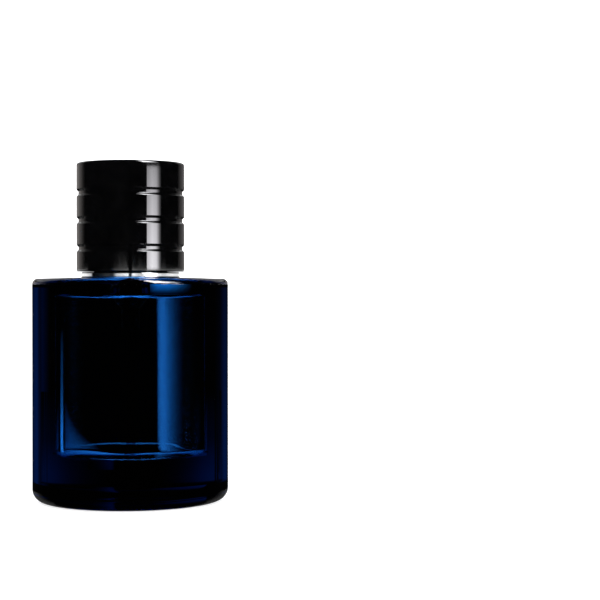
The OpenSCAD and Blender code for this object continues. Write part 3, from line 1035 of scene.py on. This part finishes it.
@dataclass
class SprayPump:
    """The crimped pump: ferrule, housing, valve and springs. It winds its springs with the given tree."""

    coil: bpy.types.GeometryNodeTree
    ferrule_t: float = 0.4 * MM
    hub_gap_r: float = 4.2 * MM
    return_wire: float = 0.44 * MM
    return_turns: float = 6.0
    valve_wire: float = 0.26 * MM
    valve_turns: float = 4.0
    wire_sharp_deg: float = 60.0
    ferrule: Span = span_of("ferrule")

    def make_ferrule(self) -> None:
        """Makes the crimped ferrule, rolled in under the neck's bead."""
        r, low, high, wall = self.ferrule.radius, self.ferrule.low, self.ferrule.high, self.ferrule_t
        turn_z = low + 1.35 * MM
        lip_r = r - 1.15 * MM
        corners = [
            Corner(self.hub_gap_r, high - wall, 0.1 * MM), Corner(r - wall, high - wall, 0.25 * MM),
            Corner(r - wall, turn_z, 0.5 * MM), Corner(lip_r, low + wall * 1.2, 0.1 * MM),
            Corner(lip_r + wall * 0.4, low, 0.1 * MM), Corner(r, turn_z - wall * 0.5, 0.6 * MM),
            Corner(r, high, 0.6 * MM), Corner(self.hub_gap_r, high, 0.15 * MM)]
        piece = turn("ferrule_crimped", [rounded(corners, closed=True, steps=5)], closed=True, segments=128)
        settle(piece, "ferrule", Finish.FERRULE_METAL)

    def make_spring(self, node: str, wire: float, turns: float) -> bpy.types.Object:
        """Winds one spring in the place of its CAD node.

        Args:
            node: The CAD node's name.
            wire: The wire's diameter.
            turns: Turns, with the closed ends.

        Returns:
            The spring.
        """
        span = Span.of(node)
        piece = shown(node + "_wound", bpy.data.meshes.new(node + "_wound"))
        grow(piece, self.coil, sharp_deg=self.wire_sharp_deg, Wire=wire, Radius=span.radius - wire / 2,
             Turns=turns, Height=span.high - span.low, Foot=(0.0, 0.0, span.low),
             Material=Finish.SPRING_WIRE.material())
        return settle(piece, node, Finish.SPRING_WIRE)

    def build(self) -> None:
        """Builds the pump's metal and springs, and dresses what keeps its CAD shape."""
        self.make_ferrule()
        back = self.make_spring("return_spring", self.return_wire, self.return_turns)
        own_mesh(back)
        valve = self.make_spring("valve_spring", self.valve_wire, self.valve_turns)
        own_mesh(valve)
        for node, finish in {
                "pump_housing": Finish.HOUSING_PLASTIC, "turret": Finish.NATURAL_PLASTIC,
                "stem": Finish.NATURAL_PLASTIC, "valve_stem": Finish.NATURAL_PLASTIC,
                "piston": Finish.PISTON_PLASTIC, "inlet_ball": Finish.BALL_STEEL,
                "neck_gasket": Finish.WHITE_GASKET, "stem_gasket": Finish.BLACK_RUBBER}.items():
            paint(node, finish)


@dataclass
class PressButton:
    """The metal-sleeved button and its spray nozzle."""

    skin: float = 0.55 * MM
    edge_r: float = 0.8 * MM
    dish: float = 0.4 * MM
    hole_r: float = 2.3 * MM
    shell: Span = span_of("actuator_shell")
    core: Span = span_of("actuator")

    def make_shell(self) -> None:
        """Makes the spun sleeve with its finger dish, and cuts the nozzle's hole."""
        r, low, high = self.shell.radius, self.shell.low, self.shell.high
        inner = r - self.skin
        ceiling = self.core.high + 0.05 * MM
        flat_r = r - self.edge_r
        steps = 16
        dish = [(flat_r * (1 - k / steps), high - self.dish * (1 - (1 - k / steps) ** 2))
                for k in range(1, steps + 1)]
        corners = [
            Corner(0, ceiling), Corner(inner, ceiling, 0.25 * MM), Corner(inner, low, 0.12 * MM),
            Corner(r, low, 0.16 * MM), Corner(r, high, self.edge_r), Corner(flat_r - 0.1 * MM, high)]
        outline = rounded(corners, steps=8)[:-1] + dish
        piece = turn("button_sleeve", [subdivided(outline, 0.8 * MM)], segments=160)
        nozzle_low, nozzle_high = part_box("spray_nozzle")
        centre_z = (nozzle_low.z + nozzle_high.z) / 2
        across = Matrix.Translation((0, 0, centre_z)) @ Matrix.Rotation(math.pi / 2, 4, "X")
        start, end = 2 * MM, r + 1 * MM
        tool = turn("nozzle_hole", [[(0, start), (self.hole_r, start), (self.hole_r, end), (0, end)]],
                    segments=48, place=across)
        cut = piece.modifiers.new("nozzle_hole", "BOOLEAN")
        cut.operation = "DIFFERENCE"
        cut.solver = "EXACT"
        cut.object = tool
        fixed(piece)
        remove(tool)
        settle(piece, "actuator_shell", Finish.BUTTON_METAL)

    def make_nozzle(self) -> None:
        """Makes the nozzle insert: a cup whose face dips in two steps to the spray orifice."""
        low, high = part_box("spray_nozzle")
        r = (high.x - low.x) / 2
        face, depth = -low.y, high.y - low.y
        bore, orifice = 1.1 * MM, 0.15 * MM
        corners = [
            Corner(orifice, face - 0.5 * MM), Corner(orifice, face - 0.22 * MM),
            Corner(0.45 * MM, face - 0.1 * MM, 0.1 * MM), Corner(1.1 * MM, face - 0.1 * MM, 0.08 * MM),
            Corner(1.25 * MM, face, 0.06 * MM), Corner(r, face, 0.2 * MM), Corner(r, face - depth, 0.1 * MM),
            Corner(bore, face - depth, 0.1 * MM), Corner(bore, face - 0.5 * MM)]
        across = Matrix.Translation((0, 0, (low.z + high.z) / 2)) @ Matrix.Rotation(math.pi / 2, 4, "X")
        piece = turn("nozzle_insert", [rounded(corners, closed=True, steps=4)], closed=True, segments=64,
                     place=across)
        settle(piece, "spray_nozzle", Finish.NOZZLE_PLASTIC)

    def build(self) -> None:
        """Builds the sleeve and the nozzle, and dresses the core."""
        self.make_shell()
        self.make_nozzle()
        paint("actuator", Finish.BUTTON_PLASTIC)


@dataclass
class GroovedCap:
    """The tall black cap with its grooves, its liner and its weight. It repeats with the given tree."""

    repeat: bpy.types.GeometryNodeTree
    grooves: int = 3
    groove_h: float = 2.4 * MM
    groove_floor: float = 1.2 * MM
    groove_depth: float = 0.7 * MM
    lip_r: float = 0.4 * MM
    floor_r: float = 0.25 * MM
    lowest_band: float = 7.1 * MM
    top_band: float = 9.6 * MM
    edge_r: float = 0.9 * MM
    foot_r: float = 0.3 * MM
    crown: float = 0.5 * MM
    top_t: float = 3.4 * MM
    ribs: int = 12
    rib_w: float = 1.0 * MM
    rib_depth: float = 1.0 * MM
    liner_t: float = 1.3 * MM
    shell: Span = span_of("cap_shell")
    liner: Span = span_of("cap_liner")
    collar: Span = span_of("collar")

    @property
    def pitch(self) -> float:
        """Distance from groove to groove."""
        room = self.shell.high - self.shell.low - self.crown - self.groove_h
        return (room - self.top_band - self.lowest_band) / (self.grooves - 1)

    def make_shell(self) -> None:
        """Makes the cap's shell: its ends are turned, and the grooved bands between them repeat one ring."""
        r, low, high = self.shell.radius, self.shell.low, self.shell.high
        bore = self.liner.radius + 0.05 * MM
        roof = high - self.crown - self.top_t
        first = low + self.lowest_band + self.groove_h / 2 - self.pitch / 2
        last = first + self.grooves * self.pitch
        foot = rounded([
            Corner(0, roof), Corner(bore, roof, 0.4 * MM), Corner(bore, low, 0.2 * MM),
            Corner(r, low, self.foot_r), Corner(r, first)], steps=8)
        flat_r = r - self.edge_r
        steps = 16
        crown = [(flat_r * (1 - k / steps), high - self.crown * (1 - k / steps) ** 2)
                 for k in range(1, steps + 1)]
        corner = Corner(r, high - self.crown, self.edge_r)
        head = rounded([Corner(r, last), corner, Corner(flat_r, high - self.crown)], steps=10)[:-1] + crown
        piece = turn("cap_gloss_shell", [subdivided(foot, 4 * MM), subdivided(head, 3 * MM)],
                     segments=AROUND)
        half, half_floor, middle = self.groove_h / 2, self.groove_floor / 2, self.pitch / 2
        inner = r - self.groove_depth
        ring = rounded([
            Corner(r, 0), Corner(r, middle - half, self.lip_r),
            Corner(inner, middle - half_floor, self.floor_r),
            Corner(inner, middle + half_floor, self.floor_r),
            Corner(r, middle + half, self.lip_r), Corner(r, self.pitch)], steps=4)
        unit = turn("groove_ring", [ring], segments=AROUND)
        for vertex in unit.data.vertices:
            vertex.co.z += first
        grow(piece, self.repeat, Unit=unit, Count=self.grooves, Step=(0.0, 0.0, self.pitch), Weld=0.002 * MM,
             Material=Finish.BLACK_GLOSS.material())
        remove(unit)
        face_out(piece)
        settle(piece, "cap_shell", Finish.BLACK_GLOSS)

    def make_liner(self) -> None:
        """Makes the liner, with the ribs that grip the collar's sleeve."""
        r, low, high = self.liner.radius, self.liner.low, self.liner.high
        bore = r - self.liner_t
        corners = [
            Corner(0, high - self.liner_t), Corner(bore, high - self.liner_t, 0.5 * MM),
            Corner(bore, low, 0.3 * MM), Corner(r, low, 0.2 * MM), Corner(r, high, 0.3 * MM), Corner(0, high)]
        piece = turn("cap_liner_ribbed", [subdivided(rounded(corners), 4 * MM)], segments=160)
        tip = bore - self.rib_depth + 0.01 * MM
        rib_high = self.collar.high - 0.1 * MM
        side = [(bore + 0.2 * MM, low + 0.5 * MM), (tip + 0.5 * MM, low + 0.6 * MM), (tip, low + 1.8 * MM),
                (tip, rib_high - 0.4 * MM), (tip + 0.3 * MM, rib_high),
                (bore + 0.2 * MM, rib_high + 0.1 * MM)]
        bm = bmesh.new()
        face = bm.faces.new([bm.verts.new((x, -self.rib_w / 2, z)) for x, z in side])
        made = bmesh.ops.extrude_face_region(bm, geom=[face])
        moved = [v for v in made["geom"] if isinstance(v, bmesh.types.BMVert)]
        bmesh.ops.translate(bm, vec=(0, self.rib_w, 0), verts=moved)
        long_edges = [e for e in bm.edges if abs(e.verts[0].co.y - e.verts[1].co.y) < 1e-9
                      and max(v.co.x for v in e.verts) < bore]
        bmesh.ops.bevel(bm, geom=long_edges, offset=0.2 * MM, segments=2, affect="EDGES")
        bmesh.ops.recalc_face_normals(bm, faces=bm.faces)
        unit = shown("liner_rib", meshed("liner_rib", bm))
        grow(piece, self.repeat, Unit=unit, Count=self.ribs, Turn=FULL_TURN / self.ribs, Weld=0.0,
             Material=Finish.LINER_PLASTIC.material())
        remove(unit)
        settle(piece, "cap_liner", Finish.LINER_PLASTIC)

    def build(self) -> None:
        """Builds the shell and the liner, and dresses the weight."""
        self.make_shell()
        self.make_liner()
        paint("cap_weight", Finish.WEIGHT_ZINC)


def face_out(piece: bpy.types.Object) -> None:
    """Points a closed piece's faces outwards.

    Args:
        piece: The piece, with its seams already welded.
    """
    bm = bmesh.new()
    bm.from_mesh(piece.data)
    bmesh.ops.recalc_face_normals(bm, faces=bm.faces)
    bm.to_mesh(piece.data)
    bm.free()
    piece.data.set_sharp_from_angle(angle=math.radians(SHARP_DEG))


# ---------------------------------------------------------------- the studio


class ShownTo(Enum):
    """Which light paths a panel lights."""

    ALL = (True, True, True)
    REFLECTIONS = (True, False, False)
    GLASS = (False, True, False)


def between(table: Table, at: float) -> float:
    """Reads a table of (place, value) pairs at a place between them.

    Args:
        table: The pairs, in order of place.
        at: The place.

    Returns:
        The value there.
    """
    for (x0, y0), (x1, y1) in zip(table, table[1:]):
        if at <= x1:
            return y0 + (y1 - y0) * (at - x0) / (x1 - x0)
    return table[-1][1]


@dataclass(frozen=True)
class Panel:
    """An upright curved light panel round the bottle, with its light drawn as two tables.

    Attributes:
        across: The share of light by azimuth, in degrees from the camera's side, positive to its right.
        up: The light by height.
        distance: How far the panel stands from the bottle's axis.
        narrowing: The share of its width that it loses by its top, towards its last azimuth.
        bow: How far it is lowered, by azimuth.
    """

    name: str
    across: Table
    up: Table
    shown_to: ShownTo
    colour: Colour = (1.0, 1.0, 1.0)
    distance: float = 0.6
    narrowing: float = 0.0
    bow: Table = ((0.0, 0.0), (360.0, 0.0))
    widest_facet: float = 3.0

    def build(self, camera_azimuth: float) -> bpy.types.Object:
        """Builds the panel.

        Args:
            camera_azimuth: Where the camera stands, in degrees.

        Returns:
            The panel, which the camera itself doesn't see.
        """
        azimuths = [self.across[0][0]]
        for (a0, _), (a1, _) in zip(self.across, self.across[1:]):
            facets = math.ceil((a1 - a0) / self.widest_facet)
            azimuths += [a0 + (a1 - a0) * k / facets for k in range(1, facets + 1)]
        bm = bmesh.new()
        glow = bm.verts.layers.float.new(GLOW)
        columns: list[list[bmesh.types.BMVert]] = []
        low, high, last = self.up[0][0], self.up[-1][0], azimuths[-1]
        for azimuth in azimuths:
            column = []
            for z, light in self.up:
                kept = 1 - self.narrowing * ((z - low) / (high - low)) ** 2
                a = math.radians(camera_azimuth + last + (azimuth - last) * kept)
                vertex = bm.verts.new((self.distance * math.sin(a), -self.distance * math.cos(a),
                                       z - between(self.bow, azimuth)))
                vertex[glow] = light * between(self.across, azimuth)
                column.append(vertex)
            columns.append(column)
        for first, second in zip(columns, columns[1:]):
            for j in range(len(self.up) - 1):
                bm.faces.new((first[j], second[j], second[j + 1], first[j + 1]))
        return lit_panel(self.name, bm, self.colour, self.shown_to)


def lit_panel(name: str, bm: bmesh.types.BMesh, colour: Colour, shown_to: ShownTo) -> bpy.types.Object:
    """Makes a mesh with its light on each vertex into a light panel that the camera itself doesn't see.

    Args:
        name: The panel's name.
        bm: Its mesh, with a float layer called glow.
        colour: The light's colour.
        shown_to: The light paths that it lights.

    Returns:
        The panel, which the camera itself doesn't see.
    """
    mesh = meshed(name, bm)
    panel = bpy.data.objects.new(name, mesh)
    bpy.context.scene.collection.objects.link(panel)
    material = bpy.data.materials.new(name)
    material.use_nodes = True
    tree = material.node_tree
    tree.nodes.remove(tree.nodes["Principled BSDF"])
    emission = tree.nodes.new("ShaderNodeEmission")
    emission.inputs["Color"].default_value = (*colour, 1)
    light = tree.nodes.new("ShaderNodeAttribute")
    light.attribute_name = GLOW
    tree.links.new(light.outputs["Fac"], emission.inputs["Strength"])
    output = next(n for n in tree.nodes if n.type == "OUTPUT_MATERIAL")
    tree.links.new(emission.outputs[0], output.inputs["Surface"])
    mesh.materials.append(material)
    panel.visible_camera = False
    panel.visible_shadow = False
    panel.visible_glossy, panel.visible_transmission, panel.visible_diffuse = shown_to.value
    return panel


PANELS = (
    Panel("softbox_right", across=((33.8, 0), (34.6, 0.68), (37, 0.74), (45.8, 1), (55.3, 0.82), (60, 0.4),
          (63, 0.15), (67, 0)), up=((0.088, 20), (0.091, 14.5), (0.11, 12), (0.13, 9.5), (0.155, 6.6),
          (0.16, 6.4)), shown_to=ShownTo.ALL, colour=(0.97, 0.95, 1.0)),
    Panel("shoulder_light", across=((25.5, 0), (27, 1), (38, 1), (48, 0.6), (56, 0.25), (64, 0)),
          up=((0.165, 2.4), (0.19, 1.4), (0.25, 1.4), (0.275, 20), (0.4, 28), (1.6, 28), (2.2, 12)),
          shown_to=ShownTo.REFLECTIONS, colour=(0.97, 0.97, 1.0)),
    Panel("back_flag_left", across=((-172, 0.4), (-156, 0.42), (-147, 0.43), (-134, 0.33), (-124, 0.22),
          (-120, 0.1), (-115, 0.05), (-111, 0)), up=((0.088, 1), (0.19, 1)), shown_to=ShownTo.REFLECTIONS,
          colour=(1.0, 0.94, 0.91)),
    Panel("back_flag_right", across=((118, 0), (122, 0.05), (132, 0.17), (150, 0.24), (163, 0.27),
          (175, 0.27)), up=((0.088, 1), (0.19, 1)), shown_to=ShownTo.REFLECTIONS, colour=(1.0, 0.94, 0.94)),
    Panel("collar_rail", across=((-165, 0.8), (-137, 0.85), (-120, 0.95), (-108, 0.75), (-103, 0.6),
          (-99, 0), (-77, 0), (-69, 0.01), (-60, 0.035), (-52, 0.05), (-45, 0.025), (-41, 0.04),
          (-37, 0.25), (-33, 0.9), (-30, 1.2), (-23, 1.4), (-16, 1.5), (-9, 1.9), (-5, 2), (-4, 0),
          (2.5, 0), (3.5, 1.9), (5, 2), (12, 1.5), (19, 1.1), (26, 1.15), (33, 1.5), (40, 1.5), (64, 1.5),
          (72, 1.3), (81, 0.9), (91, 1.1), (101, 1.1), (113, 1.1), (127, 0.8), (146, 0.6), (165, 0.9),
          (175, 0.9)), up=((0.0797, 1.8), (0.0876, 1.8)), shown_to=ShownTo.REFLECTIONS),
    Panel("stripe_behind", across=((174.0, 0), (174.5, 0.015), (175.1, 0.054), (175.8, 0.13), (176.3, 0.25),
          (176.7, 0.42), (177.1, 0.65), (177.4, 0.92), (177.7, 1), (177.95, 0.56), (178.1, 0)),
          up=((0.0045, 6), (0.009, 11), (0.03, 11.5), (0.06, 11.5), (0.0725, 9.5)), shown_to=ShownTo.GLASS,
          distance=0.08),
    Panel("edge_line_behind", across=((-136, 0), (-134, 0.8), (-131, 1), (-127, 1), (-125, 0)),
          up=((0.009, 50), (0.022, 48), (0.032, 18), (0.042, 8), (0.0565, 2), (0.061, 0)),
          shown_to=ShownTo.GLASS, colour=(2.4, 1.4, 1.0), distance=0.045),
    Panel("corner_glow_behind", across=((-178, 0), (-177.4, 0.1), (-176.6, 0.26), (-175, 0.5), (-172, 0.8),
          (-166, 1), (-162, 1), (-161, 0)), up=((0.0085, 12), (0.0125, 9), (0.017, 6), (0.023, 3),
          (0.032, 0)), shown_to=ShownTo.GLASS, distance=0.08, narrowing=0.86),
    Panel("floor_arc_behind", across=((161, 0), (168, 0.6), (173.5, 1), (175.5, 1.3), (177.4, 2.2),
          (178.2, 1), (187, 1), (191, 0.8), (199, 0)), up=((0.0139, 6.5), (0.0146, 6.5)),
          shown_to=ShownTo.GLASS, distance=0.0796, bow=((161, 0.0044), (170, 0.0033), (173, 0.0027),
          (176.5, 0.0009), (178.5, 0.0002), (180, 0), (181.5, 0.0002), (182.4, 0.0009), (187.3, 0.0027),
          (191, 0.0034), (199, 0.0044))),
    Panel("shoulder_glow_behind", across=((-178.4, 0), (-177.6, 0.3), (-176.6, 1), (-175, 0.9),
          (-173.5, 0.5), (-172, 0.2), (-170.5, 0.05), (-169, 0)), up=((0.0735, 0), (0.0745, 30),
          (0.0765, 200), (0.0785, 480)), shown_to=ShownTo.GLASS, colour=(9.0, 2.8, 1.0), distance=0.08),
    Panel("rim_feed_left", across=((96, 0.5), (106, 1), (120, 1), (124, 0.3), (127, 0.15), (131, 0.3),
          (135, 0.15), (140, 0)), up=((-0.35, 13), (-0.05, 12), (0.03, 11), (0.075, 10)),
          shown_to=ShownTo.GLASS),
    Panel("base_feed_left", across=((128, 0.5), (134, 1), (146, 0.8), (156, 0.35), (164, 0.12), (172, 0)),
          up=((-0.35, 7), (-0.058, 6), (-0.035, 1.5), (0, 0)), shown_to=ShownTo.GLASS),
    Panel("rim_feed_right", across=((-136, 0), (-127, 0.1), (-122, 0.5), (-115.5, 1), (-104, 1),
          (-96, 0.6)), up=((-0.35, 15), (-0.05, 12), (0.03, 7), (0.075, 4)), shown_to=ShownTo.GLASS),
    Panel("base_feed_right", across=((-170, 0), (-163, 0.12), (-156, 0.4), (-148, 0.9), (-140, 1),
          (-130, 0.9), (-124, 0.6)), up=((-0.35, 8), (-0.06, 7), (-0.035, 1.5), (0, 0)),
          shown_to=ShownTo.GLASS),
    Panel("sky_behind", across=((118, 0), (135, 1), (225, 1), (242, 0)), up=((0.2, 0), (0.26, 0.55),
          (0.6, 0.45), (0.9, 0.2)), shown_to=ShownTo.REFLECTIONS),
    Panel("table_behind", across=((120, 0), (140, 1), (220, 1), (240, 0)), up=((-0.45, 0.1), (-0.07, 0.1)),
          shown_to=ShownTo.REFLECTIONS),
)


@dataclass
class Studio:
    """The pale floor and backdrop, the light and the camera."""

    camera_at: tuple[float, float, float] = (60.9 * MM, -592 * MM, 77.8 * MM)
    tilt_deg: float = -0.57
    lens_mm: float = 98.8
    room_r: float = 3.0
    room_h: float = 3.2
    cove_r: float = 1.2
    # Painted shadow on the floor: how far the room's glow dips round the bottle, and over what radius.
    painted_floor_shadow: float = 0.34
    painted_shadow_r: float = 0.5
    under_z: float = -30 * MM
    under_r: float = 200 * MM
    under_light: float = 24.0
    under_fall: float = 0.6
    panels: tuple[Panel, ...] = PANELS

    def build_room(self) -> None:
        """Builds the floor and backdrop as one pale round glowing room, seen by the camera and by matt
        surfaces, with a painted soft shadow under the bottle.
        """
        ring_steps, around = 40, 96
        radii = [self.room_r * (k / ring_steps) ** 1.6 for k in range(ring_steps + 1)]
        quarter = [math.pi / 2 * k / 16 for k in range(17)]
        profile = [(r, 0.0) for r in radii if r < self.room_r - self.cove_r]
        profile += [(self.room_r - self.cove_r + self.cove_r * math.sin(a), self.cove_r * (1 - math.cos(a)))
                    for a in quarter]
        profile += [(self.room_r * math.cos(a), self.cove_r + (self.room_h - self.cove_r) * math.sin(a))
                    for a in quarter[1:]]
        room = turn("pale_room", [profile], segments=around, sharp_deg=80)
        room.data.flip_normals()
        glow = room.data.attributes.new(GLOW, "FLOAT", "POINT")
        for vertex, value in zip(room.data.vertices, glow.data):
            r = math.hypot(vertex.co.x, vertex.co.y)
            # The glow dips towards the middle: a painted soft shadow under the bottle, not cast by any lamp.
            value.value = 1 - self.painted_floor_shadow * math.exp(-((r / self.painted_shadow_r) ** 2))
        material = bpy.data.materials.new("pale_room")
        material.use_nodes = True
        surface = material.node_tree.nodes["Principled BSDF"]
        surface.inputs["Base Color"].default_value = (0.55, 0.55, 0.56, 1)
        surface.inputs["Roughness"].default_value = 1.0
        surface.inputs["Specular IOR Level"].default_value = 0.0
        surface.inputs["Emission Color"].default_value = (1.0, 1.0, 1.0, 1)
        share = material.node_tree.nodes.new("ShaderNodeAttribute")
        share.attribute_name = GLOW
        material.node_tree.links.new(share.outputs["Fac"], surface.inputs["Emission Strength"])
        room.data.materials.append(material)
        room.visible_glossy = False
        room.visible_transmission = False
        room.visible_shadow = False

    def build_under_panel(self) -> None:
        """Builds the level round panel under the base, brightest at its middle."""
        bm = bmesh.new()
        glow = bm.verts.layers.float.new(GLOW)
        around, rings, hole = 64, 10, 0.1 * MM
        grid = []
        for j in range(rings + 1):
            r = self.under_r * j / rings + hole
            ring = []
            for k in range(around):
                a = FULL_TURN * k / around
                vertex = bm.verts.new((r * math.cos(a), r * math.sin(a), self.under_z))
                vertex[glow] = self.under_light * (1 - self.under_fall * (j / rings) ** 2)
                ring.append(vertex)
            grid.append(ring)
        for low, high in zip(grid, grid[1:]):
            for k in range(around):
                n = (k + 1) % around
                bm.faces.new((low[k], low[n], high[n], high[k]))
        lit_panel("base_glow", bm, (1.0, 1.0, 1.0), ShownTo.GLASS)

    def build_camera(self) -> None:
        """Builds the camera, level with the bottle's shoulder and a little to its right."""
        data = bpy.data.cameras.new("camera")
        data.lens = self.lens_mm
        data.sensor_width = 36.0
        data.clip_start = 0.01
        data.clip_end = 20.0
        camera = bpy.data.objects.new("camera", data)
        camera.location = self.camera_at
        camera.rotation_euler = (math.radians(90 + self.tilt_deg), 0, 0)
        bpy.context.scene.collection.objects.link(camera)
        bpy.context.scene.camera = camera

    def build_world(self) -> None:
        """Makes the surroundings beyond the panels nearly dark, and keeps colours as lit."""
        world = bpy.data.worlds.new("dim_surroundings")
        world.use_nodes = True
        world.node_tree.nodes["Background"].inputs["Color"].default_value = (0.9, 0.93, 1.0, 1)
        world.node_tree.nodes["Background"].inputs["Strength"].default_value = 0.004
        bpy.context.scene.world = world
        bpy.context.scene.view_settings.view_transform = "Standard"

    def build(self) -> None:
        """Builds the whole studio."""
        self.build_camera()
        self.build_world()
        self.build_room()
        x, y, _ = self.camera_at
        camera_azimuth = math.degrees(math.atan2(x, -y))
        for panel in self.panels:
            panel.build(camera_azimuth)
        self.build_under_panel()
        LOG.info("studio: %d upright panels", len(self.panels))


def main() -> None:
    """Builds the studio and every sub-assembly, in order."""
    logging.basicConfig(level=logging.INFO, format="%(message)s")
    Studio().build()
    repeat = repeat_tree()
    GlassBody(repeat).build()
    MetalCollar().build()
    SprayPump(coil_tree()).build()
    PressButton().build()
    GroovedCap(repeat).build()


if __name__ == "__main__":
    main()
